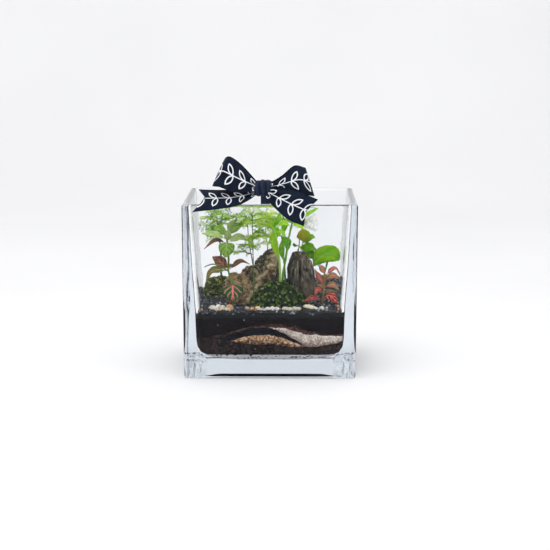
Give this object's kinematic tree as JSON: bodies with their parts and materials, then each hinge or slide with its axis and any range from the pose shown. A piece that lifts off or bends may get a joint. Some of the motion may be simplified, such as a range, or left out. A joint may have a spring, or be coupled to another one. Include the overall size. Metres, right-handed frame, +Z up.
{
  "type": "glass plant terrarium",
  "caption": "Clear square glass vase planted as a small terrarium over layered sand and soil, with a printed ribbon bow on its front rim.",
  "frame": {"origin": "centre of the glass vessel's underside, on the surface that it stands on", "axes": "+X right, +Y back and +Z up, with the bow on the front side at -Y"},
  "size_m": [0.15, 0.1641, 0.1917],
  "materials": {
    "glass": "clear, polished",
    "dark_soil": "moist, crumbly",
    "sand_tan": "fine grained",
    "sand_navy": "fine grained",
    "sand_cream": "fine grained",
    "sand_rust": "fine grained",
    "gravel": "coarse, glinting",
    "pebble_white": "smooth, tumbled",
    "pebble_cream": "smooth, tumbled",
    "pebble_peach": "smooth, tumbled",
    "pebble_orange": "smooth, tumbled",
    "stone_brown": "rough",
    "stone_slate": "rough, grained",
    "moss": "soft, tufted",
    "leaf_pale_green": "satin, pink veined",
    "leaf_pink": "satin, pink veined",
    "leaf_green": "satin",
    "leaf_bright": "glossy",
    "fern_green": "satin",
    "ribbon": "printed cotton"
  },
  "bodies": {
    "root": {"glass_vessel": "glass", "soil_lower": "dark_soil", "soil_upper": "dark_soil", "sand_tan": "sand_tan", "sand_navy": "sand_navy", "sand_cream": "sand_cream", "sand_rust": "sand_rust", "gravel_topping": "gravel", "stone_brown": "stone_brown", "stone_slate": "stone_slate", "moss_mound": "moss", "moss_cushion": "moss", "nerve_plant_left": "leaf_pale_green", "nerve_plant_right": "leaf_pink", "palm_stem_front": "leaf_green", "palm_stem_middle": "leaf_green", "palm_stem_back": "leaf_green", "round_leaf_stem": "leaf_bright", "round_leaf_large": "leaf_bright", "fern_frond_left": "fern_green", "fern_frond_front": "fern_green", "fern_frond_middle": "fern_green", "fern_frond_back": "fern_green", "bow_loop_left": "ribbon", "bow_loop_right": "ribbon", "bow_tail_left": "ribbon", "bow_tail_right": "ribbon", "bow_knot": "ribbon", "bow_tab": "ribbon", "pebbles_white_left": "pebble_white", "pebble_peach_left": "pebble_peach", "pebbles_cream_left": "pebble_cream", "pebble_grey_centre": "pebble_cream", "pebble_orange_centre": "pebble_orange", "pebble_ivory_centre": "pebble_white", "pebbles_white_right": "pebble_white", "pebbles_cream_right": "pebble_cream", "stone_flat_cream": "pebble_cream", "pebble_white_right": "pebble_white", "pebble_white_back": "pebble_white", "grain_orange_left": "pebble_orange", "grain_rust_left": "pebble_orange", "grain_orange_right": "pebble_orange", "grain_amber_right": "pebble_orange"}
  },
  "joints": []
}
